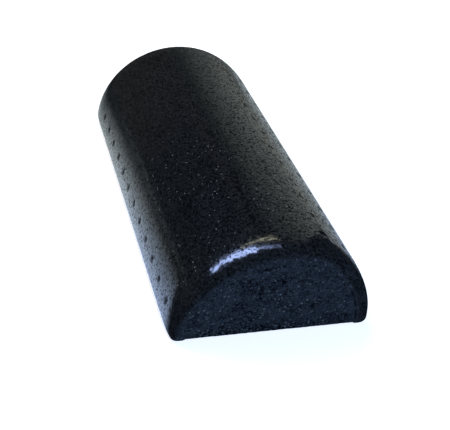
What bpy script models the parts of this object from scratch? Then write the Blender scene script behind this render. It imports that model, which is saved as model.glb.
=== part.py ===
"""Half round foam roller, 12 in long, 6 in wide and 3 in high. Metres, +Z up.

The roller lies on the two rounded feet of its skin, with its length along Y and its crown at the top.
The origin is on the floor, under the middle of the roller.
A dense moulded skin arches over a half round core of bead foam. The skin's rims round off towards
both ends, and its two lower edges are the feet, which stand a little below the core's flat base.
"""
import math

import bmesh
import bpy
from mathutils import Matrix, Vector

# Sizes of the whole roller
LENGTH = 0.3048
OUTER_RADIUS = 0.0762

# Sizes of the skin
SKIN_THICKNESS = 0.0127
RIM_LENGTH = 0.0220
RIM_DEPTH = 0.0040
FOOT_OUTER_RADIUS = 0.0060
FOOT_INNER_RADIUS = 0.0030
FOOT_END_RADIUS = 0.0045

# Sizes of the core
SEAT_GAP = 0.0003
BASE_RECESS = 0.0013
BASE_END_RADIUS = 0.0040

# Steam vent marks, shallow round dimples on a square grid over the skin and under the base
VENT_PITCH = 0.0223
VENT_DIAMETER = 0.0072
VENT_DEPTH = 0.0008
VENT_FLOOR_SHARE = 0.75
VENT_RIM_MARGIN = 0.0030
VENT_FOOT_MARGIN = 0.0120
VENT_SHIFT = 0.0065

# Filler mark, a shallow ring groove in the near end face of the core
FILLER_DIAMETER = 0.0200
FILLER_GROOVE_WIDTH = 0.0016
FILLER_OFFSET = 0.0075
FILLER_HEIGHT = 0.0410

# How far a cutter runs past what it cuts
OVERRUN = 0.0050

# Facets
ARC_SEGMENTS = 28
FOOT_OUTER_SEGMENTS = 6
FOOT_INNER_SEGMENTS = 4
RIM_SEGMENTS = 9
CORE_SEGMENTS = 96
BASE_END_SEGMENTS = 4
VENT_SEGMENTS = 8
FILLER_SEGMENTS = 28
FILLER_SIDES = 6
SMOOTH_ANGLE = math.radians(35)

# Sizes that follow from the ones above
INNER_RADIUS = OUTER_RADIUS - SKIN_THICKNESS
CORE_RADIUS = INNER_RADIUS - SEAT_GAP
HALF_LENGTH = LENGTH / 2


def clear_scene():
    """Removes whatever objects the file starts with."""
    for obj in list(bpy.data.objects):
        bpy.data.objects.remove(obj, do_unlink=True)


def make_collection(name):
    """A new collection of that name in the scene."""
    collection = bpy.data.collections.new(name)
    bpy.context.scene.collection.children.link(collection)
    return collection


def make_material(name, colour, roughness):
    """A plain foam finish."""
    material = bpy.data.materials.new(name)
    material.use_nodes = True
    shader = material.node_tree.nodes["Principled BSDF"]
    shader.inputs["Base Color"].default_value = (*colour, 1.0)
    shader.inputs["Roughness"].default_value = roughness
    shader.inputs["Metallic"].default_value = 0.0
    material.diffuse_color = (*colour, 1.0)
    return material


def make_object(bm, name, collection):
    """Turns a bmesh into an object of the collection, with round faces shaded smooth."""
    bmesh.ops.recalc_face_normals(bm, faces=bm.faces)
    mesh = bpy.data.meshes.new(name)
    bm.to_mesh(mesh)
    bm.free()
    mesh.shade_smooth()
    mesh.set_sharp_from_angle(angle=SMOOTH_ANGLE)
    obj = bpy.data.objects.new(name, mesh)
    collection.objects.link(obj)
    return obj


def mark_as_cutter(obj):
    """Shows a cutter as wire only, and keeps it out of renders."""
    obj.hide_render = True
    obj.display_type = 'WIRE'
    return obj


def add_boolean(obj, cutter, operation):
    """Cuts obj by the cutter, or keeps only what the two share."""
    modifier = obj.modifiers.new(cutter.name, 'BOOLEAN')
    modifier.operation = operation
    modifier.solver = 'EXACT'
    modifier.object = cutter


def arc(centre_x, centre_z, radius, start, end, segments):
    """Points on an arc in the X-Z plane, from the start angle to the end angle."""
    steps = [start + (end - start) * i / segments for i in range(segments + 1)]
    return [(centre_x + radius * math.cos(a), centre_z + radius * math.sin(a)) for a in steps]


def half_section(inset, rise):
    """Right half of the skin's section, from the crown outside, round the foot, to the crown inside.

    The outer side is drawn in by inset, the underside of the foot is lifted by rise, and the inner
    wall stays. The foot's two rounded edges shrink with the wall that is left.
    """
    wall_share = (SKIN_THICKNESS - inset) / SKIN_THICKNESS
    outer = OUTER_RADIUS - inset
    outer_edge = FOOT_OUTER_RADIUS * wall_share
    inner_edge = FOOT_INNER_RADIUS * wall_share
    outer_z = rise + outer_edge
    outer_x = math.sqrt((outer - outer_edge) ** 2 - outer_z ** 2)
    outer_angle = math.atan2(outer_z, outer_x)
    inner_z = rise + inner_edge
    inner_x = math.sqrt((INNER_RADIUS + inner_edge) ** 2 - inner_z ** 2)
    inner_angle = math.atan2(inner_z, inner_x)
    crown = math.pi / 2
    down = -math.pi / 2
    over = arc(0, 0, outer, crown, outer_angle, ARC_SEGMENTS)
    foot_out = arc(outer_x, outer_z, outer_edge, outer_angle, down, FOOT_OUTER_SEGMENTS)
    foot_in = arc(inner_x, inner_z, inner_edge, down, inner_angle - math.pi, FOOT_INNER_SEGMENTS)
    wall = arc(0, 0, INNER_RADIUS, inner_angle, crown, ARC_SEGMENTS)
    return over[:-1] + foot_out + foot_in + wall[1:]


def skin_section(inset, rise):
    """Closed outline of the skin's section: the right half and its mirror image."""
    right = half_section(inset, rise)
    left = [(-x, z) for x, z in reversed(right[1:-1])]
    return right + left


def foot_rise(from_end):
    """How far the foot's underside is lifted, that far from the end, by its rounded end edge."""
    left = max(FOOT_END_RADIUS - from_end, 0)
    return FOOT_END_RADIUS - math.sqrt(FOOT_END_RADIUS ** 2 - left ** 2)


def rim_stations():
    """Places along Y, each with the inset and the rise there, from the near end to the far end.

    The rim is a quarter ellipse, longer along the roller than it is deep.
    """
    near = []
    for i in range(RIM_SEGMENTS + 1):
        turn = math.pi / 2 * i / RIM_SEGMENTS
        from_end = RIM_LENGTH * (1 - math.cos(turn))
        inset = RIM_DEPTH * (1 - math.sin(turn))
        near.append((-HALF_LENGTH + from_end, inset, foot_rise(from_end)))
    return near + [(-y, inset, rise) for y, inset, rise in reversed(near)]


def loft(sections):
    """A solid through like-numbered outlines, given as lists of points, and capped at both ends."""
    bm = bmesh.new()
    rings = [[bm.verts.new(point) for point in section] for section in sections]
    for ring, following in zip(rings, rings[1:]):
        for i in range(len(ring)):
            j = (i + 1) % len(ring)
            bm.faces.new((ring[i], ring[j], following[j], following[i]))
    bm.faces.new(rings[0])
    bm.faces.new(rings[-1])
    return bm


def vent_places_along():
    """Places along Y of the vents in one row, evenly spaced and set a little towards the near end."""
    room = LENGTH - 2 * (RIM_LENGTH + VENT_RIM_MARGIN)
    gaps = int(room / VENT_PITCH)
    return [VENT_PITCH * (i - gaps / 2) - VENT_SHIFT for i in range(gaps + 1)]


def add_vent(bm, point, outward):
    """Adds one vent cutter, a short tapered plug, to the bmesh at a point of the surface."""
    depth = VENT_DEPTH + OVERRUN
    turn = outward.to_track_quat('Z', 'Y').to_matrix().to_4x4()
    place = Matrix.Translation(point + outward * (depth / 2 - VENT_DEPTH)) @ turn
    top_radius = VENT_DIAMETER / 2
    bmesh.ops.create_cone(
        bm, cap_ends=True, segments=VENT_SEGMENTS, radius1=top_radius * VENT_FLOOR_SHARE,
        radius2=top_radius, depth=depth, matrix=place)


def make_skin_vents(cutters):
    """Cutters for the vents over the skin, in rows an arc of one pitch apart, alike left and right."""
    bm = bmesh.new()
    quarter = OUTER_RADIUS * math.pi / 2
    rows = int((quarter - VENT_FOOT_MARGIN) / VENT_PITCH + 0.5)
    for row in range(rows):
        from_crown = VENT_PITCH * (row + 0.5) / OUTER_RADIUS
        for side in (-1, 1):
            outward = Vector((side * math.sin(from_crown), 0, math.cos(from_crown)))
            for y in vent_places_along():
                add_vent(bm, outward * OUTER_RADIUS + Vector((0, y, 0)), outward)
    return mark_as_cutter(make_object(bm, "skin_vent_cutter", cutters))


def make_base_vents(cutters):
    """Cutters for the vents under the core's flat base, on the same grid."""
    bm = bmesh.new()
    outward = Vector((0, 0, -1))
    rows = int((CORE_RADIUS - VENT_FOOT_MARGIN) / VENT_PITCH)
    for row in range(-rows, rows + 1):
        for y in vent_places_along():
            add_vent(bm, Vector((row * VENT_PITCH, y, BASE_RECESS)), outward)
    return mark_as_cutter(make_object(bm, "base_vent_cutter", cutters))


def make_outer_skin(parts, cutters):
    """The skin: a thick arch with rounded rims at both ends and a rounded foot along each side."""
    sections = []
    for y, inset, rise in rim_stations():
        sections.append([(x, y, z) for x, z in skin_section(inset, rise)])
    skin = make_object(loft(sections), "outer_skin", parts)
    add_boolean(skin, make_skin_vents(cutters), 'DIFFERENCE')
    skin.data.materials.append(make_material("moulded_skin", (0.018, 0.020, 0.024), 0.42))
    return skin


def make_core_block(parts):
    """A block as long as the roller, whose two lower end edges are rounded."""
    width = 2 * (CORE_RADIUS + OVERRUN)
    height = CORE_RADIUS + OVERRUN - BASE_RECESS
    bm = bmesh.new()
    place = Matrix.Translation((0, 0, BASE_RECESS + height / 2))
    bmesh.ops.create_cube(bm, size=1, matrix=place @ Matrix.Diagonal((width, LENGTH, height, 1)))
    weights = bm.edges.layers.float.new("bevel_weight_edge")
    middle = BASE_RECESS + height / 2
    for edge in bm.edges:
        first, second = edge.verts
        runs_across = first.co.x * second.co.x < 0
        if runs_across and first.co.z < middle and second.co.z < middle:
            edge[weights] = 1
    block = make_object(bm, "foam_core", parts)
    bevel = block.modifiers.new("rounded_end_edges", 'BEVEL')
    bevel.limit_method = 'WEIGHT'
    bevel.width = BASE_END_RADIUS
    bevel.segments = BASE_END_SEGMENTS
    return block


def make_core_round(cutters):
    """The full round, lying along Y, that gives the core its arched top."""
    bm = bmesh.new()
    lying = Matrix.Rotation(math.pi / 2, 4, 'X')
    bmesh.ops.create_cone(
        bm, cap_ends=True, segments=CORE_SEGMENTS, radius1=CORE_RADIUS, radius2=CORE_RADIUS,
        depth=LENGTH + 2 * OVERRUN, matrix=lying)
    return mark_as_cutter(make_object(bm, "core_round_cutter", cutters))


def make_filler_ring(cutters):
    """A ring half sunk in the near end face, where the beads were blown into the mould."""
    bpy.ops.mesh.primitive_torus_add(
        major_radius=FILLER_DIAMETER / 2, minor_radius=FILLER_GROOVE_WIDTH / 2,
        major_segments=FILLER_SEGMENTS, minor_segments=FILLER_SIDES)
    ring = bpy.context.object
    ring.name = "filler_ring_cutter"
    ring.rotation_euler.x = math.pi / 2
    ring.location = (-FILLER_OFFSET, -HALF_LENGTH, FILLER_HEIGHT)
    for collection in list(ring.users_collection):
        collection.objects.unlink(ring)
    cutters.objects.link(ring)
    return mark_as_cutter(ring)


def make_foam_core(parts, cutters):
    """The core: a half round of bead foam that fills the skin, open to view at both ends and below."""
    core = make_core_block(parts)
    add_boolean(core, make_core_round(cutters), 'INTERSECT')
    add_boolean(core, make_base_vents(cutters), 'DIFFERENCE')
    add_boolean(core, make_filler_ring(cutters), 'DIFFERENCE')
    core.data.materials.append(make_material("bead_foam", (0.012, 0.014, 0.018), 0.62))
    return core


clear_scene()
parts_collection = make_collection("half_round_foam_roller")
cutters_collection = make_collection("cutters")
make_outer_skin(parts_collection, cutters_collection)
make_foam_core(parts_collection, cutters_collection)
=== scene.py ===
# %% [markdown]
# # Dressing a half round foam roller
#
# The roller is moulded from small foam beads that steam has welded together. It has two pieces: a
# dense, glossy skin that arches over the top and ends below in two long feet, and a duller core of
# larger beads that shows at both ends and underneath. This lesson loads the plain solids of the
# roller, makes a finely shaped piece in place of each of them, and lights and frames the result.

import math

import bmesh
import bpy
import numpy as np
from mathutils import Matrix, Vector


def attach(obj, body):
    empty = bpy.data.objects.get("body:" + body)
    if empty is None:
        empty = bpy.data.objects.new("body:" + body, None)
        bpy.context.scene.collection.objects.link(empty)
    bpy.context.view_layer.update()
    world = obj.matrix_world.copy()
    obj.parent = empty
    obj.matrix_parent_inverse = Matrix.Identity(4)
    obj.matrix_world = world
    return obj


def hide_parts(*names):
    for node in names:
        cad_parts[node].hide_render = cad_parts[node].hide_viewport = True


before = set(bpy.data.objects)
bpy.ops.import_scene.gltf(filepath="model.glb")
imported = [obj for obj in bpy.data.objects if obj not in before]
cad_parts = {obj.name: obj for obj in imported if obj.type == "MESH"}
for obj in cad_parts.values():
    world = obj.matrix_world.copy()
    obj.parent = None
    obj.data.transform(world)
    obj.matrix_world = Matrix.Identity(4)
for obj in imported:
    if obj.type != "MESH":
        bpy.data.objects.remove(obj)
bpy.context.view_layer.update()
print("solids:", ", ".join(sorted(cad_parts)))

# %% [markdown]
# ## The camera
#
# A photograph is a fixed view, so the camera comes first. Its place was worked out from the outline
# of the roller in the picture: it looks down from the near left, and it is turned a little about its
# own line of sight, which is why the near end seems to slope. The turn is built from three angles,
# one after the other, and the lens follows from the width of the view.

# %% The camera
CAMERA_PLACE = Vector((-0.20577, -0.51032, 0.38973))
CAMERA_AZIMUTH = math.radians(-23.1226)
CAMERA_ELEVATION = math.radians(35.8130)
CAMERA_ROLL = math.radians(11.0819)
SENSOR_WIDTH = 36.0
FOCAL_PIXELS = 794.934
PICTURE_WIDTH = 450
NEAREST_SEEN = 0.01

camera_data = bpy.data.cameras.new("camera")
camera_data.sensor_fit = 'HORIZONTAL'
camera_data.sensor_width = SENSOR_WIDTH
camera_data.lens = FOCAL_PIXELS * SENSOR_WIDTH / PICTURE_WIDTH
camera_data.clip_start = NEAREST_SEEN
camera = bpy.data.objects.new("camera", camera_data)
bpy.context.scene.collection.objects.link(camera)
level = Matrix.Rotation(CAMERA_AZIMUTH, 4, 'Z')
tilt = Matrix.Rotation(math.pi / 2 - CAMERA_ELEVATION, 4, 'X')
roll = Matrix.Rotation(CAMERA_ROLL, 4, 'Z')
camera.matrix_world = Matrix.Translation(CAMERA_PLACE) @ level @ tilt @ roll
bpy.context.scene.camera = camera
print("lens", round(camera_data.lens, 2), "mm")

# %% [markdown]
# ## Two small helpers for node trees
#
# A node tree is easier to read when its sums look like sums. `Signal` wraps one output socket, and
# its operators add the Math nodes.

# %% A socket that sums can be written with
class Signal:
    """One number or vector that flows through a node tree."""

    def __init__(self, maker, socket):
        self.maker = maker
        self.socket = socket

    def math(self, operation, *others):
        inputs = {0: self}
        inputs.update({i + 1: other for i, other in enumerate(others)})
        return self.maker.add("ShaderNodeMath", {"operation": operation}, inputs)

    def __add__(self, other):
        return self.math('ADD', other)

    __radd__ = __add__

    def __mul__(self, other):
        return self.math('MULTIPLY', other)

    __rmul__ = __mul__

    def __sub__(self, other):
        return self.math('SUBTRACT', other)

    def __rsub__(self, other):
        return self.maker.add("ShaderNodeMath", {"operation": 'SUBTRACT'}, {0: other, 1: self})

    def __truediv__(self, other):
        return self.math('DIVIDE', other)

    def __pow__(self, other):
        return self.math('POWER', other)

    def smooth(self, low, high, start=0.0, end=1.0):
        """Start below low, end above high, and a smooth step between them."""
        inputs = {"Value": self, "From Min": low, "From Max": high, "To Min": start, "To Max": end}
        return self.maker.add("ShaderNodeMapRange", {"interpolation_type": 'SMOOTHSTEP'}, inputs)


# %% [markdown]
# `Maker` adds any other node in one call, `add`: its kind, its settings, which are made first, and
# then the values or links of its sockets. Its other methods only give short names to what is used
# often. Sizes are in metres here, so a texture's scale is one divided by the size of its features.

# %% One method that adds a node
MIX_FIRST_COLOUR, MIX_SECOND_COLOUR, MIX_COLOUR_RESULT = 6, 7, 2


class Maker:
    """Adds nodes to one tree."""

    def __init__(self, tree):
        self.tree = tree

    def add(self, kind, settings=None, inputs=None, output=0):
        node = self.tree.nodes.new(kind)
        for name, value in (settings or {}).items():
            setattr(node, name, value)
        for name, value in (inputs or {}).items():
            if isinstance(value, Signal):
                self.tree.links.new(value.socket, node.inputs[name])
            else:
                node.inputs[name].default_value = value
        return Signal(self, node.outputs[output])

    def also(self, signal, output):
        """Another output of the node that a signal comes from."""
        return Signal(self, signal.socket.node.outputs[output])

    def parts(self, vector):
        """The three numbers of a vector."""
        x = self.add("ShaderNodeSeparateXYZ", None, {0: vector})
        return x, self.also(x, 1), self.also(x, 2)

    def moved(self, vector, by):
        return self.add("ShaderNodeVectorMath", {"operation": 'ADD'}, {0: vector, 1: by})

    def scaled(self, vector, factor):
        return self.add("ShaderNodeVectorMath", {"operation": 'SCALE'}, {0: vector, "Scale": factor})

    def blend(self, factor, first, second):
        """A mix of two colours."""
        inputs = {0: factor, MIX_FIRST_COLOUR: first, MIX_SECOND_COLOUR: second}
        return self.add("ShaderNodeMix", {"data_type": 'RGBA'}, inputs, MIX_COLOUR_RESULT)

    def noise(self, place, size, detail=2.0, roughness=0.5):
        """Soft random values about 0.5, with features of that size."""
        inputs = {"Vector": place, "Scale": 1 / size, "Detail": detail, "Roughness": roughness}
        return self.add("ShaderNodeTexNoise", None, inputs)

    def cells(self, place, size, feature='F1'):
        """Random cells, as between pressed beads: the distance to the nearest middle or border."""
        inputs = {"Vector": place, "Scale": 1 / size}
        return self.add("ShaderNodeTexVoronoi", {"feature": feature}, inputs)


# %% [markdown]
# ## The skin as a grid
#
# The skin is one long arch of foam, 12.7 mm thick, drawn in by 4 mm over the last 22 mm at both
# ends, and rounded below into two feet. It could be carved from a cylinder, but fine bead relief
# needs even, small faces, so the skin is laid out as a grid: a section of evenly spaced points,
# repeated at stations along the roller. Millimetre faces are small enough for every bead to get
# its own dome.

# %% Sizes of the skin
LENGTH = 0.3048
OUTER_RADIUS = 0.0762
SKIN_THICKNESS = 0.0127
INNER_RADIUS = OUTER_RADIUS - SKIN_THICKNESS
HALF_LENGTH = LENGTH / 2
RIM_LENGTH = 0.0220
RIM_DEPTH = 0.0040
FOOT_OUTER_RADIUS = 0.0060
FOOT_INNER_RADIUS = 0.0030
FOOT_END_RADIUS = 0.0045
ARC_STEPS = 60


def arc(centre, radius, start, end, steps=ARC_STEPS):
    """Points on an arc, as rows of x and z."""
    angles = np.linspace(start, end, steps + 1)
    return np.stack([centre[0] + radius * np.cos(angles), centre[1] + radius * np.sin(angles)], 1)


def spread(line, count):
    """The same line with that many equal steps."""
    steps = np.linalg.norm(np.diff(line, axis=0), axis=1)
    along = np.concatenate([[0], np.cumsum(steps)])
    places = np.linspace(0, along[-1], count + 1)
    return np.stack([np.interp(places, along, line[:, k]) for k in range(line.shape[1])], 1)


# %% [markdown]
# A section is drawn as two lines, one on the outside and one on the inside of the arch. Each follows
# its arc down to the round of the foot, and both end in the middle of the foot's sole. `inset` draws
# the section in towards the core, as the rim does, and `rise` lifts its feet, as at the very ends.

# %% One section of the skin
def half_lines(inset, rise):
    """The outer and the inner line of the right half, both from the crown to the foot's sole."""
    share = (SKIN_THICKNESS - inset) / SKIN_THICKNESS
    outer = OUTER_RADIUS - inset
    outer_edge = FOOT_OUTER_RADIUS * share
    inner_edge = FOOT_INNER_RADIUS * share
    outer_x = math.sqrt((outer - outer_edge) ** 2 - (rise + outer_edge) ** 2)
    inner_x = math.sqrt((INNER_RADIUS + inner_edge) ** 2 - (rise + inner_edge) ** 2)
    outer_turn = math.atan2(rise + outer_edge, outer_x)
    inner_turn = math.atan2(rise + inner_edge, inner_x)
    sole = np.array([[(outer_x + inner_x) / 2, rise]])
    over = arc((0, 0), outer, math.pi / 2, outer_turn)
    foot_out = arc((outer_x, rise + outer_edge), outer_edge, outer_turn, -math.pi / 2)
    under = arc((0, 0), INNER_RADIUS, math.pi / 2, inner_turn)
    foot_in = arc((inner_x, rise + inner_edge), inner_edge, inner_turn - math.pi, -math.pi / 2)
    return np.concatenate([over, foot_out[1:], sole]), np.concatenate([under, foot_in[1:], sole])


def section_lines(inset, rise, count):
    """Outer and inner line from the left sole over the crown to the right sole, in equal steps."""
    both = []
    for line in half_lines(inset, rise):
        right = spread(line, count // 2)
        left = right[::-1] * np.array([-1, 1])
        both.append(np.concatenate([left, right[1:]]))
    return both


# %% Stations of the skin
SKIN_COUNT = 252
RIM_STEPS = 26
STRAIGHT_STEPS = 250


def rim_stations():
    """Rows of the place along Y, the inset and the rise, from the near end to the far end."""
    turn = np.linspace(0, math.pi / 2, RIM_STEPS + 1)
    from_end = RIM_LENGTH * (1 - np.cos(turn))
    inset = RIM_DEPTH * (1 - np.sin(turn))
    left = np.maximum(FOOT_END_RADIUS - from_end, 0)
    rise = FOOT_END_RADIUS - np.sqrt(FOOT_END_RADIUS ** 2 - left ** 2)
    near = np.stack([from_end - HALF_LENGTH, inset, rise], 1)
    straight = np.linspace(near[-1, 0], -near[-1, 0], STRAIGHT_STEPS + 1)[1:-1]
    middle = np.stack([straight, np.zeros_like(straight), np.zeros_like(straight)], 1)
    return np.concatenate([near, middle, near[::-1] * np.array([-1, 1, 1])])


stations = rim_stations()
print("skin:", SKIN_COUNT, "points a section,", len(stations), "stations")

# %% [markdown]
# The grid is closed into a solid in four sheets: the outer side, an end sheet at either end, which
# runs from the outer line to the inner line in rings, and the inner wall, which nobody sees and
# which needs only a few long faces. A point attribute named `relief` says where the beads may shape
# the foam: fully on what shows, and not at all on the hidden wall.

# %% Helpers for grids
def add_points(points, flat, y):
    """Adds a line of points at a place along Y, and returns their numbers."""
    first = len(points)
    points.extend((x, y, z) for x, z in flat)
    return list(range(first, len(points)))


def join_lines(faces, line, following, turned=False):
    """Faces between two lines of points: a triangle where the lines share one point, and none
    where they share two."""
    for i in range(len(line) - 1):
        corners = [line[i], line[i + 1], following[i + 1], following[i]]
        corners = list(dict.fromkeys(corners))
        if len(corners) > 2:
            faces.append(corners[::-1] if turned else corners)


def mesh_object(name, points, faces, relief):
    """A mesh with closed, outward faces and the relief attribute on its points."""
    mesh = bpy.data.meshes.new(name)
    mesh.from_pydata(points, [], faces)
    attribute = mesh.attributes.new("relief", 'FLOAT', 'POINT')
    attribute.data.foreach_set("value", np.asarray(relief, np.float32))
    bm = bmesh.new()
    bm.from_mesh(mesh)
    bmesh.ops.recalc_face_normals(bm, faces=bm.faces)
    open_edges = sum(1 for edge in bm.edges if not edge.is_manifold)
    bm.to_mesh(mesh)
    bm.free()
    mesh.shade_smooth()
    obj = bpy.data.objects.new(name, mesh)
    bpy.context.scene.collection.objects.link(obj)
    print(name, len(mesh.vertices), "points,", len(mesh.polygons), "faces,",
          open_edges, "open edges")
    return obj


# %% The outer side and the inner wall
WALL_STEP = 2


def skin_sheets():
    """The points and faces of the outer side, and the rows of points of the inner wall."""
    points, faces, relief = [], [], []
    outer_rows, inner_rows = [], []
    for y, inset, rise in stations:
        outer = section_lines(inset, rise, SKIN_COUNT)[0]
        outer_rows.append(add_points(points, outer, y))
        relief.extend([1.0] * len(outer))
    for row, following in zip(outer_rows, outer_rows[1:]):
        join_lines(faces, row, following)
    near_rows = list(range(0, RIM_STEPS + 1, WALL_STEP))
    wall_rows = near_rows + [len(stations) - 1 - k for k in reversed(near_rows)]
    for k in wall_rows:
        y, inset, rise = stations[k]
        inner = section_lines(inset, rise, SKIN_COUNT)[1]
        row = [outer_rows[k][0]] + add_points(points, inner[1:-1], y) + [outer_rows[k][-1]]
        relief.extend([0.0] * (len(inner) - 2))
        inner_rows.append(row)
    return points, faces, relief, outer_rows, inner_rows, wall_rows


# %% [markdown]
# The sole's middle line belongs to both the outer and the inner sheet. The inner sheet has fewer
# stations, so its outermost faces take in all the outer points between two of its own stations, and
# the solid stays closed.

# %% Close the skin
END_SHEET_RINGS = 9


def close_skin():
    points, faces, relief, outer_rows, inner_rows, wall_rows = skin_sheets()
    for a in range(len(wall_rows) - 1):
        row, following = inner_rows[a], inner_rows[a + 1]
        join_lines(faces, row[1:-1], following[1:-1], turned=True)
        between = range(wall_rows[a], wall_rows[a + 1] + 1)
        left = [outer_rows[k][0] for k in between]
        right = [outer_rows[k][-1] for k in between]
        faces.append(left + [following[1], row[1]])
        faces.append(right[::-1] + [row[-2], following[-2]])
    for k, end in ((0, inner_rows[0]), (len(stations) - 1, inner_rows[-1])):
        y = stations[k][0]
        outer = np.array([points[i] for i in outer_rows[k]])
        inner = np.array([points[i] for i in end])
        rings = [outer_rows[k]]
        for ring in range(1, END_SHEET_RINGS):
            share = ring / END_SHEET_RINGS
            line = outer[1:-1] * (1 - share) + inner[1:-1] * share
            made = add_points(points, line[:, [0, 2]], y)
            relief.extend([1.0] * len(made))
            rings.append([outer_rows[k][0]] + made + [outer_rows[k][-1]])
        rings.append(end)
        for line, following in zip(rings, rings[1:]):
            join_lines(faces, line, following, turned=k == 0)
    return mesh_object("skin_grid", points, faces, relief)


skin_base = close_skin()

# %% [markdown]
# ## The core as a grid
#
# The core fills the arch. What shows of it is its flat base and its two end faces, so the points
# are closest there. An end face is laid out in rings that shrink towards one point, the middle of
# the round filler mark, which is where the eye goes: the faces are smallest there, and the mark's
# groove follows the rings.

# %% Sizes of the core
SEAT_GAP = 0.00005
CORE_RADIUS = INNER_RADIUS - SEAT_GAP
BASE_RECESS = 0.0013
BASE_END_RADIUS = 0.0040
FILLER_PLACE = (-0.0075, 0.0410)
FILLER_DIAMETER = 0.0200
BASE_POINTS = 104
ARCH_POINTS = 156
END_RINGS = 58
CORE_STEPS = 196
BASE_END_STEPS = 7
FLUSH_WIDTH = 0.0030


def core_line(rise):
    """The closed outline of the core, from the left corner along the base and back over the arch."""
    height = BASE_RECESS + rise
    corner = math.sqrt(CORE_RADIUS ** 2 - height ** 2)
    turn = math.atan2(height, corner)
    across = np.linspace(-corner, corner, BASE_POINTS + 1)
    base = np.stack([across, np.full(BASE_POINTS + 1, height)], 1)
    arch = arc((0, 0), CORE_RADIUS, turn, math.pi - turn, ARCH_POINTS)
    return np.concatenate([base, arch[1:-1]])


def flush_weight(line):
    """Full relief on the end face, fading to none where the core meets the skin."""
    out = np.hypot(line[:, 0], line[:, 1])
    return np.clip((CORE_RADIUS - out) / FLUSH_WIDTH, 0.0, 1.0)


# %% The core's base and arch
def core_rings():
    """The core without its end faces, as rings of points from the near end to the far end."""
    turn = np.linspace(0, math.pi / 2, BASE_END_STEPS + 1)
    from_end = BASE_END_RADIUS * (1 - np.cos(turn))
    rise = BASE_END_RADIUS * (1 - np.sin(turn))
    near = np.stack([from_end - HALF_LENGTH, rise], 1)
    straight = np.linspace(near[-1, 0], -near[-1, 0], CORE_STEPS + 1)[1:-1]
    middle = np.stack([straight, np.zeros_like(straight)], 1)
    rows = np.concatenate([near, middle, near[::-1] * np.array([-1, 1])])
    points, faces, relief, rings = [], [], [], []
    for y, lift in rows:
        line = core_line(lift)
        rings.append(add_points(points, line, y))
        shows = np.zeros(len(line))
        shows[1:BASE_POINTS] = 1.0
        relief.extend(shows)
    for ring, following in zip(rings, rings[1:]):
        join_lines(faces, ring + ring[:1], following + following[:1])
    return points, faces, relief, rings, rows


# %% Close the core
def close_core():
    points, faces, relief, rings, rows = core_rings()
    middle = np.array(FILLER_PLACE)
    for k, y in ((0, -HALF_LENGTH), (-1, HALF_LENGTH)):
        outline = core_line(rows[k][1])
        last = rings[k]
        for i, weight in zip(last, flush_weight(outline)):
            relief[i] = weight
        for ring in range(1, END_RINGS):
            share = ring / END_RINGS
            line = outline * (1 - share) + middle * share
            made = add_points(points, line, y)
            relief.extend(flush_weight(line))
            join_lines(faces, last + last[:1], made + made[:1], turned=k == 0)
            last = made
        centre = add_points(points, [middle], y)[0]
        relief.append(1.0)
        for i in range(len(last)):
            corners = [last[i], last[(i + 1) % len(last)], centre]
            faces.append(corners[::-1] if k == 0 else corners)
    return mesh_object("core_grid", points, faces, relief)


core_base = close_core()

# %% [markdown]
# ## Bead relief with Geometry Nodes
#
# Steam swells the beads until they press flat against each other and against the mould, so each one
# shows as a small, faintly domed patch with a fine sunken border. A Voronoi texture is the natural
# model of that. It could be a Displace modifier with a texture, but a tree of Geometry Nodes can
# also press in the steam vent marks, and it takes its sizes as named inputs, so that one way of
# building it suits both pieces.

# %% Helpers for geometry trees
def start_tree(name, sockets):
    """A geometry tree with named inputs. Returns it with its maker and its input signals."""
    tree = bpy.data.node_groups.new(name, "GeometryNodeTree")
    tree.interface.new_socket(name="Geometry", in_out='OUTPUT', socket_type='NodeSocketGeometry')
    always = [("Geometry", 'NodeSocketGeometry'), ("Material", 'NodeSocketMaterial')]
    for label, kind in always + sockets:
        tree.interface.new_socket(name=label, in_out='INPUT', socket_type=kind)
    maker = Maker(tree)
    source = tree.nodes.new("NodeGroupInput")
    return tree, maker, {s.name: Signal(maker, s) for s in source.outputs if s.name}


def finish_tree(maker, geometry, material):
    """Ends a tree: instances made real, the material set, and the result put out."""
    real = maker.add("GeometryNodeRealizeInstances", None, {"Geometry": geometry})
    done = maker.add("GeometryNodeSetMaterial", None, {"Geometry": real, "Material": material})
    out = maker.tree.nodes.new("NodeGroupOutput")
    maker.tree.links.new(done.socket, out.inputs[0])


def apply_tree(obj, tree, name, values):
    """Runs a tree on an object with the given inputs, and returns its result as a plain mesh."""
    modifier = obj.modifiers.new(tree.name, 'NODES')
    modifier.node_group = tree
    for item in tree.interface.items_tree:
        if item.in_out == 'INPUT' and item.name in values:
            modifier[item.identifier] = values[item.name]
    shaped = obj.evaluated_get(bpy.context.evaluated_depsgraph_get())
    mesh = bpy.data.meshes.new_from_object(shaped)
    mesh.name = name
    obj.modifiers.remove(modifier)
    done = bpy.data.objects.new(name, mesh)
    bpy.context.scene.collection.objects.link(done)
    bpy.data.objects.remove(obj)
    return done


# %% The height of the beads
BEND_SIZE = 0.006
BEND_REACH = 0.002
GROOVE_SHARE = 0.16


def bead_height(maker, place, size, depth):
    """How far the foam lies below the mould's face: nothing on a bead's top, and nearly the whole
    depth at its border."""
    bend = maker.noise(place, BEND_SIZE, 1.0)
    bent = maker.moved(place, maker.add("ShaderNodeCombineXYZ", None, {
        0: bend * BEND_REACH, 1: bend * BEND_REACH, 2: bend * -BEND_REACH}))
    cells = {"Vector": bent, "Scale": size ** -1}
    border = maker.add("ShaderNodeTexVoronoi", {"feature": 'DISTANCE_TO_EDGE'}, cells)
    middle = maker.add("ShaderNodeTexVoronoi", {"feature": 'F1'}, cells)
    groove = 1 - border.smooth(0.0, GROOVE_SHARE)
    return (groove * 0.6 + middle * middle * 0.7) * depth


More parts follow.
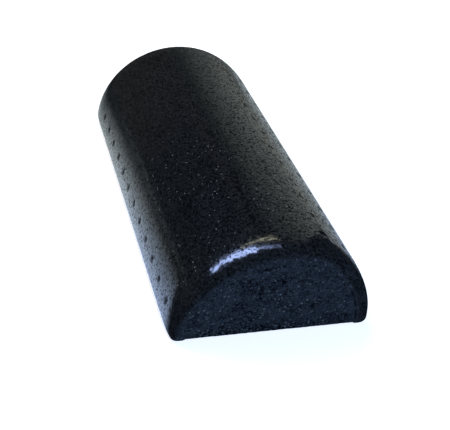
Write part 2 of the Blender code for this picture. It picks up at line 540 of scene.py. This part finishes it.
# %% [markdown]
# The vent marks are the prints of the mould's round steam vents, so they stand in straight rows.
# They could be modelled one by one, but a mark is only a soft dent. So the tree builds the middles
# of the vents as a flat grid of points, bends it round the arch, and asks every point of the skin
# how far the nearest middle is. In the photograph the marks show low on the left and down the right
# flank, and hardly on top, so their depth changes in the same way.

# %% The steam vent marks
VENT_FRAY = 0.0012
VENT_FRAY_SIZE = 0.002
VENT_EDGE = (0.15, 0.55)
LEFT_VENTS = (0.062, 0.073)
RIGHT_VENTS = ((0.018, 0.034), (0.036, 0.048))
TOP_VENTS = 0.08


def vent_points(maker, sockets, bent):
    """The middles of the vents: a flat grid, bent round the arch where it isn't for the base."""
    grid = maker.add("GeometryNodeMeshGrid", None, {
        "Size X": sockets["Vent pitch"] * (sockets["Vent rows"] - 1),
        "Size Y": sockets["Vent pitch"] * (sockets["Vents along"] - 1),
        "Vertices X": sockets["Vent rows"], "Vertices Y": sockets["Vents along"]})
    across, along, _ = maker.parts(maker.add("GeometryNodeInputPosition"))
    target = {0: across, 1: along - sockets["Vent shift"], 2: sockets["Vent level"]}
    if bent:
        turn = across / sockets["Vent level"]
        target[0] = turn.math('SINE') * sockets["Vent level"]
        target[2] = turn.math('COSINE') * sockets["Vent level"]
    spot = maker.add("ShaderNodeCombineXYZ", None, target)
    return maker.add("GeometryNodeSetPosition", None, {"Geometry": grid, "Position": spot})


def vent_marks(maker, sockets, place, seeded, bent):
    """1 in the middle of a vent mark and 0 outside it, with a frayed edge between."""
    middles = vent_points(maker, sockets, bent)
    near = maker.add("GeometryNodeProximity", {"target_element": 'POINTS'}, {0: middles}, "Distance")
    frayed = near + (maker.noise(seeded, VENT_FRAY_SIZE, 1.0) - 0.5) * VENT_FRAY
    vent = 1 - (frayed / sockets["Vent diameter"]).smooth(*VENT_EDGE)
    if not bent:
        return vent
    x, _, _ = maker.parts(place)
    left_flank = (-1 * x).smooth(*LEFT_VENTS)
    right_flank = x.smooth(*RIGHT_VENTS[0]) * 0.5 + x.smooth(*RIGHT_VENTS[1]) * 0.5
    return vent * (left_flank + right_flank + TOP_VENTS)


# %% [markdown]
# The whole tree adds up three things: the beads, a slow unevenness of the foam, and the vent marks.
# It moves every point along its normal by their sum, as far as `relief` lets it. It also keeps how
# sunken each point is as the attribute `hollow`, so that the finish can be duller there, and darker
# with painted shade.

# %% The tree for the skin and the core
SWELL_SIZE = 0.014
SEED_STEPS = (0.137, 0.071, 0.193)
FULLY_HOLLOW_DEPTH = 0.001
INPUT_SOCKETS = [
    ("Bead size", 'NodeSocketFloat'), ("Bead depth", 'NodeSocketFloat'),
    ("Unevenness", 'NodeSocketFloat'), ("Vent pitch", 'NodeSocketFloat'),
    ("Vent rows", 'NodeSocketInt'), ("Vents along", 'NodeSocketInt'),
    ("Vent shift", 'NodeSocketFloat'), ("Vent level", 'NodeSocketFloat'),
    ("Vent diameter", 'NodeSocketFloat'), ("Vent depth", 'NodeSocketFloat'),
    ("Seed", 'NodeSocketFloat')]


def relief_tree(name, bent, extra_depth=None):
    tree, maker, sockets = start_tree(name, INPUT_SOCKETS)
    place = maker.add("GeometryNodeInputPosition")
    seed = maker.add("ShaderNodeCombineXYZ", None, {
        axis: sockets["Seed"] * step for axis, step in enumerate(SEED_STEPS)})
    seeded = maker.moved(place, seed)
    sunk = bead_height(maker, seeded, sockets["Bead size"], sockets["Bead depth"])
    swell = (maker.noise(seeded, SWELL_SIZE) - 0.5) * 2 * sockets["Unevenness"]
    vent = vent_marks(maker, sockets, place, seeded, bent)
    weight = maker.add(
        "GeometryNodeInputNamedAttribute", {"data_type": 'FLOAT'}, {"Name": "relief"})
    height = (swell - sunk - vent * sockets["Vent depth"]) * weight
    hollow = vent * weight
    if extra_depth:
        more = extra_depth(maker, place, seeded)
        height = height - more
        share = (more * (1 / FULLY_HOLLOW_DEPTH)).math('MINIMUM', 1.0)
        hollow = hollow.math('MAXIMUM', share)
    push = maker.scaled(maker.add("GeometryNodeInputNormal"), height)
    kept = maker.add("GeometryNodeStoreNamedAttribute", {"data_type": 'FLOAT', "domain": 'POINT'},
                     {"Geometry": sockets["Geometry"], "Name": "hollow", "Value": hollow})
    moved = maker.add("GeometryNodeSetPosition", None, {"Geometry": kept, "Offset": push})
    finish_tree(maker, moved, sockets["Material"])
    return tree


# %% [markdown]
# The core shows more damage than the skin, because its beads are larger and less well welded at the
# ends. Its tree also presses in the filler ring, where the beads were blown into the mould, and some
# broken cracks between beads.

# %% Marks of the core's end faces
CORE_BEAD_SIZE = 0.0052
FILLER_GROOVE_WIDTH = 0.0016
FILLER_GROOVE_DEPTH = 0.0005
FILLER_WANDER = 0.0016
CRACK_DEPTH = 0.0009


def core_marks(maker, place, seeded):
    """The depth of the filler ring and of the cracks between beads."""
    x, y, z = maker.parts(place)
    at_end = y.math('ABSOLUTE').smooth(HALF_LENGTH - 0.0012, HALF_LENGTH - 0.0002)
    at_near = at_end * (1 - y.smooth(-0.001, 0.001))
    out = ((x - FILLER_PLACE[0]) ** 2 + (z - FILLER_PLACE[1]) ** 2) ** 0.5
    wander = (maker.noise(seeded, 0.004) - 0.5) * FILLER_WANDER
    beside = (out + wander - FILLER_DIAMETER / 2).math('ABSOLUTE')
    ring = 1 - beside.smooth(0.0, FILLER_GROOVE_WIDTH * 0.7)
    broken = maker.noise(seeded, 0.009).smooth(0.42, 0.56)
    ring_depth = ring * (0.35 + broken * 0.65) * at_near * FILLER_GROOVE_DEPTH
    edges = maker.cells(seeded, CORE_BEAD_SIZE, 'DISTANCE_TO_EDGE')
    lines = (1 - edges.smooth(0.0, 0.10)) * maker.noise(seeded, 0.012, 3.0).smooth(0.52, 0.62)
    crack_depth = lines * at_end * CRACK_DEPTH
    return ring_depth + crack_depth


skin_tree = relief_tree("skin relief", bent=True)
core_tree = relief_tree("core relief", bent=False, extra_depth=core_marks)
print("trees:", len(skin_tree.nodes), "nodes for the skin,", len(core_tree.nodes), "for the core")

# %% [markdown]
# ## Two finishes of one foam
#
# Where the beads touched the steel mould they melted into a thin, glossy, black film. At the ends
# the foam is bare. Both finishes have structure that is finer than the mesh, so it is made with
# colour, coat and bump. A small class holds what a finish gives: its colour, its roughness, the
# weight of its coat, and its height in millimetres.

# %% Helpers for materials
class Finish:
    """The colour, roughness, coat and height of a surface, as signals of one tree."""

    def __init__(self, colour, roughness, coat, height):
        self.colour = colour
        self.roughness = roughness
        self.coat = coat
        self.height = height

    def blended(self, other, share, maker):
        """This finish where share is 0, and the other one where it is 1."""
        return Finish(maker.blend(share, self.colour, other.colour),
                      self.roughness + (other.roughness - self.roughness) * share,
                      self.coat + (other.coat - self.coat) * share,
                      self.height + (other.height - self.height) * share)


def start_material(name):
    material = bpy.data.materials.new(name)
    material.use_nodes = True
    return material, Maker(material.node_tree), material.node_tree.nodes["Principled BSDF"]


def plug(maker, signal, shader, name):
    maker.tree.links.new(signal.socket, shader.inputs[name])


def wear(maker, shader, finish):
    """Links a finish to the shader. The bump's distance makes a height of 1 a millimetre."""
    plug(maker, finish.colour, shader, "Base Color")
    plug(maker, finish.roughness, shader, "Roughness")
    plug(maker, finish.coat, shader, "Coat Weight")
    inputs = {"Strength": 1.0, "Distance": 0.001, "Height": finish.height}
    plug(maker, maker.add("ShaderNodeBump", None, inputs), shader, "Normal")


def limited(signal):
    """The signal held between 0 and 1."""
    return signal.math('MINIMUM', 1.0).math('MAXIMUM', 0.0)


def cell_chance(maker, cell):
    """A random number from 0 to 1, the same all over a cell."""
    return maker.add("ShaderNodeSeparateColor", None, {0: maker.also(cell, "Color")})


def spots(maker, place, size, radius, share):
    """Round spots of a radius, given as a share of the cell, in that share of the cells."""
    cell = maker.cells(place, size)
    chosen = cell_chance(maker, cell).math('LESS_THAN', share)
    return (1 - cell.smooth(radius * 0.3, radius)) * chosen


# %% [markdown]
# The coat layer of the Principled shader is the film: it mirrors a lamp as a clear band on the rim.
# The base under it has no gloss of its own. The texture of the film could be all bump, but real
# film is broken: it is thin on the fine grain, worn by pits where beads meet, and nearly gone in
# the vent marks. So the weight of the coat does most, and the bump only helps. The film is fuller
# low on the left flank and more worn on the right, as in the photograph. The pits and vent marks
# also get painted shade in the colour. From the near rim to a little past the middle some blisters
# have torn: the bump gives them small domes, and lighter specks painted into the colour stand for
# the glints of light on them.

# %% The glossy film
FILM_COLOUR = (0.0150, 0.0176, 0.0205, 1.0)
FILM_DARK = (0.0014, 0.0017, 0.0022, 1.0)
FILM_PAINTED_GLINT = (0.1700, 0.1850, 0.1900, 1.0)
PATCH_SIZE = 0.030
WRINKLE_SIZE = 0.0024
GRAIN_SIZE = 0.0018
PIT_CELL = 0.0034
BLISTER_GLINT_CELL = 0.0031
RIM_BAND = (0.132, 0.145)
GLINTS_FROM = -0.145
GLINTS_TO = 0.040
LEAST_FILM = 0.12


def film_finish(maker, place, hollow):
    """Film that grain, pits and vent marks break, with painted shade in the pits and vent marks, and
    torn blisters whose glints are painted as lighter specks.
    """
    x, y, _ = maker.parts(place)
    patches = maker.noise(place, PATCH_SIZE, 3.0)
    wrinkle = maker.noise(place, WRINKLE_SIZE)
    grain = maker.noise(place, GRAIN_SIZE, 2.0, 0.6)
    on_rim = y.math('ABSOLUTE').smooth(*RIM_BAND)
    pit = spots(maker, place, PIT_CELL, 0.42, 0.75) * (1 - on_rim * 0.7)
    pit = pit * x.smooth(-0.060, -0.025, 0.55, 1.0)
    glint_zone = y.smooth(GLINTS_FROM, GLINTS_FROM + 0.02) * (1 - y.smooth(GLINTS_TO - 0.07, GLINTS_TO))
    blister_glint = spots(maker, place, BLISTER_GLINT_CELL, 0.24, 0.42) * glint_zone * patches.smooth(0.36, 0.50)
    # Painted shade: the pits and the vent marks darken the colour.
    tone = 0.44 + (patches - 0.5) * 0.4 + (grain - 0.5) * 3.0 - 0.12 * pit - 0.5 * hollow
    plain = maker.blend(limited(tone), FILM_DARK, FILM_COLOUR)
    # Painted glints: lighter specks on the torn blisters stand for light glinting on them.
    colour = maker.blend(blister_glint, plain, FILM_PAINTED_GLINT)
    worn = pit * x.smooth(-0.05, 0.04, 0.35, 0.75)
    full = (grain + x.smooth(-0.060, -0.030, 0.03, -0.01)).smooth(0.32, 0.56)
    cover = LEAST_FILM + limited(full - worn - 0.9 * hollow) * (1 - LEAST_FILM)
    height = wrinkle * x.smooth(-0.05, 0.03, 0.18, 0.27) + grain * 0.10 - pit * 0.14
    return Finish(colour, 0.20 + 0.2 * pit, cover, height + blister_glint * 0.16)


# %% [markdown]
# The bare beads are what a cut or torn face of the foam looks like: each bead keeps its own slightly
# different black, the gaps between beads are dark, and here and there a torn cell wall shines, which
# is a painted glint: a lighter speck in the colour. Pits, holes, cracks and sunken marks get painted
# shade. Along the base of the end face the foam has frayed, so a low, ragged band has more holes
# and more glints, both painted into the colour.

# %% The bare beads
BEAD_COLOUR = (0.0250, 0.0310, 0.0395, 1.0)
BEAD_DARK = (0.0008, 0.0012, 0.0024, 1.0)
BEAD_PAINTED_GLINT = (0.1000, 0.1100, 0.1200, 1.0)
BEAD_CELL = 0.0030
FRAY_SIZE = 0.0016
FINE_SIZE = 0.0014
DENT_CELL = 0.0022
TORN_GLINT_CELL = 0.0031
RAGGED_HEIGHT = 0.013


def bead_finish(maker, place, hollow, crack):
    """Beads with dark gaps, pits and torn walls, and more of those along the base; the pits, holes,
    cracks and hollows get painted shade, and the torn walls painted glints.
    """
    x, _, z = maker.parts(place)
    frayed = maker.noise(place, FRAY_SIZE, 2.0, 0.6)
    ragged = z.smooth(RAGGED_HEIGHT * 0.4, RAGGED_HEIGHT, 1.0, 0.0)
    ragged = ragged * x.smooth(-0.066, -0.050) * (1 - x.smooth(0.022, 0.060) * 0.7)
    holes = ragged * frayed.smooth(0.44, 0.50, 1.0, 0.0)
    glints = ragged * frayed.smooth(0.59, 0.64)
    shade = cell_chance(maker, maker.cells(place, BEAD_CELL))
    gap = 1 - maker.cells(place, BEAD_CELL, 'DISTANCE_TO_EDGE').smooth(0.0, 0.16)
    fine = maker.noise(place, FINE_SIZE)
    pit = spots(maker, place, DENT_CELL, 0.36, 0.20)
    torn = spots(maker, place, TORN_GLINT_CELL, 0.34, 0.60)
    # Painted shade: hollows, cracks, pits and holes darken the colour; the gaps between beads are a
    # darker colour of their own.
    dark = limited(hollow + crack + gap * 0.12 + pit * 0.6 + holes)
    tone = limited((0.58 + (shade - 0.5) * 0.35 + (fine - 0.5) * 2.2) * (1 - dark))
    plain = maker.blend(tone, BEAD_DARK, BEAD_COLOUR)
    # Painted glints: torn cell walls and the ragged band get lighter specks in the colour.
    shine = torn * (0.35 + maker.noise(place, 0.005).smooth(0.50, 0.68) * 0.5) + glints * 0.7
    colour = maker.blend(limited(shine * (1 - hollow - crack)), plain, BEAD_PAINTED_GLINT)
    height = shade * 0.08 + fine * 0.10 - gap * 0.08 - pit * 0.20 + torn * 0.12
    return Finish(colour, 0.55 - 0.2 * torn, 0.08 * torn, height - (crack + holes) * 0.4)


# %% [markdown]
# The near end has marks of its own. The seam between skin and core hardly shows, except where it has
# opened at the top, in small teeth, and as a thin line low on the right. Round the filler mark some
# cracks wander between the beads: they are the places where a slow noise passes through its middle
# value, which makes thin curling lines. The open seam and the cracks are sunk in the bump and
# darkened with painted shade in the colour.

# %% Marks of the near end
# Each opening of the seam has its first and last angle from the right, and its width. Each cracked
# place has its middle in x and z, and its reach.
SEAM_OPEN = [(1.63, 1.92, 0.0009), (0.15, 0.57, 0.0005)]
SEAM_FADE = 0.04
CRACKED = [(-0.012, 0.044, 0.012), (-0.026, 0.047, 0.007),
           (0.003, 0.037, 0.006), (-0.019, 0.020, 0.007)]


def near_end_cracks(maker, place):
    """1 in the open seam and in the cracks of the near end face, and 0 elsewhere."""
    x, y, z = maker.parts(place)
    at_near = 1 - y.smooth(0.0006 - HALF_LENGTH, 0.0020 - HALF_LENGTH)
    out = (x ** 2 + z ** 2) ** 0.5
    turn = z.math('ARCTAN2', x)
    wander = (maker.noise(place, 0.0030) - 0.5) * 0.003
    seam = 0.0
    for start, end, width in SEAM_OPEN:
        sector = turn.smooth(start - SEAM_FADE, start) * (1 - turn.smooth(end, end + SEAM_FADE))
        beside = (out + wander * (width * 1500) - INNER_RADIUS).math('ABSOLUTE')
        seam = sector * beside.smooth(width * 0.3, width, 1.0, 0.0) + seam
    seam = seam * maker.noise(place, 0.0022, 1.0).smooth(0.40, 0.56) * 0.8
    from_middle = (maker.noise(place, 0.0080) - 0.5).math('ABSOLUTE')
    line = from_middle.smooth(0.006, 0.020, 0.9, 0.0)
    cracked = 0.0
    for centre_x, centre_z, reach in CRACKED:
        away = ((x - centre_x) ** 2 + (z - centre_z) ** 2) ** 0.5
        cracked = away.smooth(reach * 0.6, reach * 1.2, 1.0, 0.0) + cracked
    return limited(seam + line * cracked) * at_near


# %% [markdown]
# The skin wears the film on its outside and bare beads on its two end faces, with a soft change
# between them near the rim's edge, which on the right of the near end lies further in. The core
# wears bare beads all over. Both read the same places in space, so the beads run on across the seam.

# %% The two materials
COAT_ROUGHNESS = 0.12
RIM_EDGE = OUTER_RADIUS - RIM_DEPTH
FURTHER_IN = 0.0050


def piece_material(name):
    material, maker, shader = start_material(name)
    shader.inputs["Specular IOR Level"].default_value = 0.0
    shader.inputs["Coat Roughness"].default_value = COAT_ROUGHNESS
    place = maker.add("ShaderNodeTexCoord", None, None, "Object")
    hollow = maker.add("ShaderNodeAttribute", {"attribute_name": "hollow"}, None, "Fac")
    return material, maker, shader, place, hollow


def skin_material():
    material, maker, shader, place, hollow = piece_material("moulded_skin_finish")
    x, y, z = maker.parts(place)
    out = (x ** 2 + z ** 2) ** 0.5
    further_in = z.math('ARCTAN2', x).smooth(0.75, 1.25, FURTHER_IN, 0.0)
    further_in = further_in * (1 - y.smooth(-0.01, 0.01))
    wander = (maker.noise(place, 0.0040) - 0.5) * 0.003
    at_end = y.math('ABSOLUTE').smooth(HALF_LENGTH - 0.0012, HALF_LENGTH - 0.0004)
    inside = (out + wander + further_in).smooth(RIM_EDGE - 0.0036, RIM_EDGE + 0.0004, 1.0, 0.0)
    beads = bead_finish(maker, place, hollow, near_end_cracks(maker, place))
    wear(maker, shader, film_finish(maker, place, hollow).blended(beads, at_end * inside, maker))
    return material


def core_material():
    material, maker, shader, place, hollow = piece_material("bead_foam_finish")
    wear(maker, shader, bead_finish(maker, place, hollow, near_end_cracks(maker, place)))
    return material


# %% [markdown]
# ## Press the relief in
#
# Each grid goes through its tree once, and comes back as a plain mesh.

# %% Press the relief in
VENTS = {"Vent pitch": 0.0223, "Vents along": 12, "Vent shift": 0.0065,
         "Vent diameter": 0.0072, "Vent depth": 0.00025}

skin = apply_tree(skin_base, skin_tree, "moulded_skin", {
    **VENTS, "Vent rows": 10, "Vent level": OUTER_RADIUS, "Seed": 3.0,
    "Bead size": 0.0045, "Bead depth": 0.00005, "Unevenness": 0.00005,
    "Material": skin_material()})
core = apply_tree(core_base, core_tree, "bead_core", {
    **VENTS, "Vent rows": 5, "Vent level": BASE_RECESS, "Seed": 7.0,
    "Bead size": CORE_BEAD_SIZE, "Bead depth": 0.00014, "Unevenness": 0.00010,
    "Material": core_material()})

pieces = ((skin, "outer_skin", "moulded_skin"), (core, "foam_core", "bead_foam"))
for piece, node, slot_name in pieces:
    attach(piece, "root")
    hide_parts(node)
    print(piece.name, len(piece.data.polygons), "faces", piece.data.materials[0].name)

# %% [markdown]
# ## Floor and surroundings
#
# The roller was photographed on white and its surroundings cut away, so the camera sees a white
# floor with only a faint soft shadow. A black glossy thing is mostly a mirror, though, so what it
# reflects makes its shape: a white sheet beside its left flank, a dimmer floor on its right, a grey
# wall behind its right flank, a dark room all round, and a long soft lamp overhead. The floor could
# be white for every ray, but then both flanks would be pale from end to end. So it shows the camera
# white, and it shows glossy rays a sheet that fades with the distance from the roller, a dimmer
# right side, and a faint glow far out on the left.

# %% What gloss sees in the floor
SHEET_LEVEL = 1.95
SHEET_FADE = 0.085
RIGHT_LEVEL = 0.60
FAR_GLOW = 0.22
FAR_GLOW_BEHIND = 0.05
BARE_FLOOR = 0.03


def mirrored_floor(maker, x, y):
    """How bright the floor is in gloss."""
    left = -1 * x - OUTER_RADIUS
    beside = (y + 0.140 - 1.13 * left).smooth(-0.009, 0.009) * (1 - y.smooth(-0.05, 0.32))
    fading = (left * -1 / SHEET_FADE).math('EXPONENT') * SHEET_LEVEL
    sheet = fading * left.smooth(-0.04, 0.0) * beside
    open_side = (y + 0.185 - 0.88 * x).smooth(-0.02, 0.02)
    right = x.smooth(0.02, 0.08) * open_side * RIGHT_LEVEL
    right = right * (1 - (y - x).smooth(0.12, 0.24) * 0.6)
    glow = left.smooth(0.0, 0.3) * (x * 1.3 + y).smooth(-0.10, 0.15, FAR_GLOW, FAR_GLOW_BEHIND)
    glow = glow * (x * 0.75 + y).smooth(-0.10, 0.05, 0.25, 1.0)
    return sheet + right + glow + BARE_FLOOR


# %% The floor
FLOOR_SIZE = 6.0
FLOOR_WHITE = (0.85, 0.85, 0.85, 1)
NEAR_COOL = (0.72, 0.935, 1.38, 1)
FAR_COOL = (0.92, 1.05, 1.10, 1)


def show(maker, signal):
    """Links a shader to the material's output."""
    maker.tree.links.new(signal.socket, maker.tree.nodes["Material Output"].inputs["Surface"])


def ray_kind(maker, kind):
    return maker.add("ShaderNodeLightPath", None, None, kind)


def floor_material():
    material, maker, shader = start_material("white_floor")
    maker.tree.nodes.remove(shader)
    x, y, _ = maker.parts(maker.add("ShaderNodeTexCoord", None, None, "Object"))
    diffuse = maker.add("ShaderNodeBsdfDiffuse", None, {"Color": FLOOR_WHITE})
    cool = maker.blend(y.smooth(-0.15, 0.12), NEAR_COOL, FAR_COOL)
    mirrored = maker.add("ShaderNodeEmission", None,
                         {"Color": cool, "Strength": mirrored_floor(maker, x, y)})
    away = (x ** 2 + y ** 2) ** 0.5
    glow = maker.add("ShaderNodeEmission", None, {"Strength": away.smooth(0.12, 0.5, 0.58, 1.0)})
    for_camera = maker.add("ShaderNodeAddShader", None, {0: diffuse, 1: glow})
    glossy = ray_kind(maker, "Is Glossy Ray").math('MAXIMUM', ray_kind(maker, "Is Transmission Ray"))
    others = maker.add("ShaderNodeMixShader", None, {0: glossy, 1: diffuse, 2: mirrored})
    show(maker, maker.add("ShaderNodeMixShader", None,
                          {0: ray_kind(maker, "Is Camera Ray"), 1: others, 2: for_camera}))
    return material


def flat_card(name, corners, material):
    """A card with four corners, which isn't part of the object."""
    mesh = bpy.data.meshes.new(name)
    mesh.from_pydata(corners, [], [tuple(range(len(corners)))])
    mesh.materials.append(material)
    obj = bpy.data.objects.new(name, mesh)
    bpy.context.scene.collection.objects.link(obj)
    return obj


side = FLOOR_SIZE / 2
flat_card("floor", [(-side, -side, 0), (side, -side, 0), (side, side, 0), (-side, side, 0)],
          floor_material())
print("floor:", FLOOR_SIZE, "m square")

# %% [markdown]
# The right flank mirrors something grey that stands behind it. A card does that with four corners.
# Its grey fades upwards and towards its left end, because the flank darkens softly towards the
# crown, and a card of one grey would show its edge there as a line. Only gloss sees it.

# %% The grey wall
WALL_LEFT = (0.05, 0.85)
WALL_RIGHT = (0.597, 0.424)
WALL_HEIGHT = 1.0
WALL_GREY = 0.58
WALL_TOP_GREY = 0.06
WALL_COLOUR = (0.93, 1.02, 0.95, 1)


def wall_material():
    material, maker, shader = start_material("grey_wall")
    maker.tree.nodes.remove(shader)
    x, _, z = maker.parts(maker.add("ShaderNodeTexCoord", None, None, "Object"))
    foot = 1 + z.smooth(0.05, 0.12, 1.0, 0.0) * x.smooth(0.33, 0.52, -0.40, 0.20)
    edge = (x - z.smooth(0.15, 0.40, 0.06, 0.0)).smooth(0.06, 0.37, 0.22, 1.0)
    fade = z.smooth(0.05, 1.15, WALL_GREY, WALL_TOP_GREY) * edge * foot
    show(maker, maker.add("ShaderNodeEmission", None, {"Color": WALL_COLOUR, "Strength": fade}))
    return material


wall = flat_card("grey_wall", [(*WALL_LEFT, 0), (*WALL_RIGHT, 0), (*WALL_RIGHT, WALL_HEIGHT),
                               (*WALL_LEFT, WALL_HEIGHT)], wall_material())
wall.visible_camera = False
wall.visible_diffuse = False
wall.visible_shadow = False
wall.visible_transmission = False
print("wall:", round(math.dist(WALL_LEFT, WALL_RIGHT), 3), "m wide,", WALL_HEIGHT, "m high")

# %% [markdown]
# The room is the world's background. A black world would leave the crown without any light on its
# film, so the room is only dim. A cool low glow on the left is there for the left flank, and a
# slightly lighter, warmer part low at the far side for the far end of the crown. The camera sees
# white instead.

# %% The dark room
DARK_ROOM = (0.014, 0.022, 0.034, 1.0)
LEFT_ROOM = (0.052, 0.064, 0.074, 1.0)
FAR_ROOM = (0.088, 0.085, 0.079, 1.0)
WHITE = (1.0, 1.0, 1.0, 1.0)

world = bpy.data.worlds.new("studio")
world.use_nodes = True
bpy.context.scene.world = world
air = Maker(world.node_tree)
background = world.node_tree.nodes["Background"]
background.inputs["Strength"].default_value = 1.0
to_x, to_y, to_z = air.parts(air.add("ShaderNodeTexCoord", None, None, "Generated"))
to_right = to_x.smooth(-0.15, 0.05) * 0.12
far_low = (to_y + to_right).smooth(0.78, 0.84) * (to_z - to_right).smooth(0.50, 0.62, 1.0, 0.0)
left_low = to_x.smooth(-0.66, -0.50, 1.0, 0.0) * to_z.smooth(0.25, 0.40, 1.0, 0.0)
unlit = air.blend(far_low, air.blend(left_low, DARK_ROOM, LEFT_ROOM), FAR_ROOM)
plug(air, air.blend(ray_kind(air, "Is Camera Ray"), unlit, WHITE), background, "Color")
print("room:", len(world.node_tree.nodes), "nodes")

# %% [markdown]
# ## Lamps
#
# Two broad lamps light the foam itself at a plain level, a nearly white one from the far left and a
# bluish one from the near side. Glossy rays don't see them, because what the rim mirrors in the
# photograph is something else: a long blue lamp overhead, whose right end fades out in two steps,
# and a narrow warm strip beyond it. Those are seen by glossy rays alone, so that a change to the
# highlight never changes the light on the foam.

# %% A lamp
def area_lamp(name, place, aim, size, watts, colour, mirrored=False, turn=0.0):
    """A rectangular lamp. A mirrored lamp shows in gloss only, and the others light only."""
    data = bpy.data.lights.new(name, 'AREA')
    data.shape = 'RECTANGLE'
    data.size, data.size_y = size
    data.energy = watts
    data.color = colour
    lamp = bpy.data.objects.new(name, data)
    bpy.context.scene.collection.objects.link(lamp)
    facing = (Vector(aim) - Vector(place)).to_track_quat('-Z', 'Y').to_matrix().to_4x4()
    lamp.matrix_world = Matrix.Translation(place) @ facing @ Matrix.Rotation(turn, 4, 'Z')
    lamp.visible_camera = False
    lamp.visible_glossy = mirrored
    lamp.visible_diffuse = not mirrored
    lamp.visible_transmission = mirrored


def watts_for(radiance, size):
    """The power that gives a lamp of that size this radiance."""
    return radiance * math.pi * size[0] * size[1]


# %% The lamps
NEARLY_WHITE = (1.02, 1.0, 0.98)
BLUISH = (0.68, 0.90, 1.30)
BLUE = (0.43, 0.56, 1.0)
WARM = (1.0, 0.98, 0.74)
OVERHEAD = 1.07
MIRRORED_LAMPS = [
    # name, x and y of its place, length and width, radiance, colour, turn in degrees
    ("long_lamp", -0.851, 0.674, (1.50, 0.185), 26.0, BLUE, -18.3),
    ("long_lamp_tail", -0.02, 0.44, (0.30, 0.11), 9.0, BLUE, -12.0),
    ("long_lamp_tip", 0.07, 0.44, (0.50, 0.11), 4.0, BLUE, -12.0),
    ("warm_strip", 0.04, 0.69, (0.84, 0.07), 6.0, WARM, 0.0)]

area_lamp("key", (-0.45, 0.55, 0.98), (0, 0.05, 0.03), (1.0, 1.0), 9.2, NEARLY_WHITE)
area_lamp("fill", (0.10, -1.00, 0.62), (0, -0.10, 0.03), (0.9, 0.5), 10.5, BLUISH)
for name, x, y, size, radiance, colour, degrees in MIRRORED_LAMPS:
    area_lamp(name, (x, y, OVERHEAD), (x, y, 0), size, watts_for(radiance, size), colour,
              mirrored=True, turn=math.radians(degrees))
print("lamps:", ", ".join(sorted(lamp.name for lamp in bpy.data.lights)))

# %% [markdown]
# ## Last settings
#
# The Standard view shows a colour as it is written.

# %% Finish
bpy.context.scene.view_settings.view_transform = 'Standard'
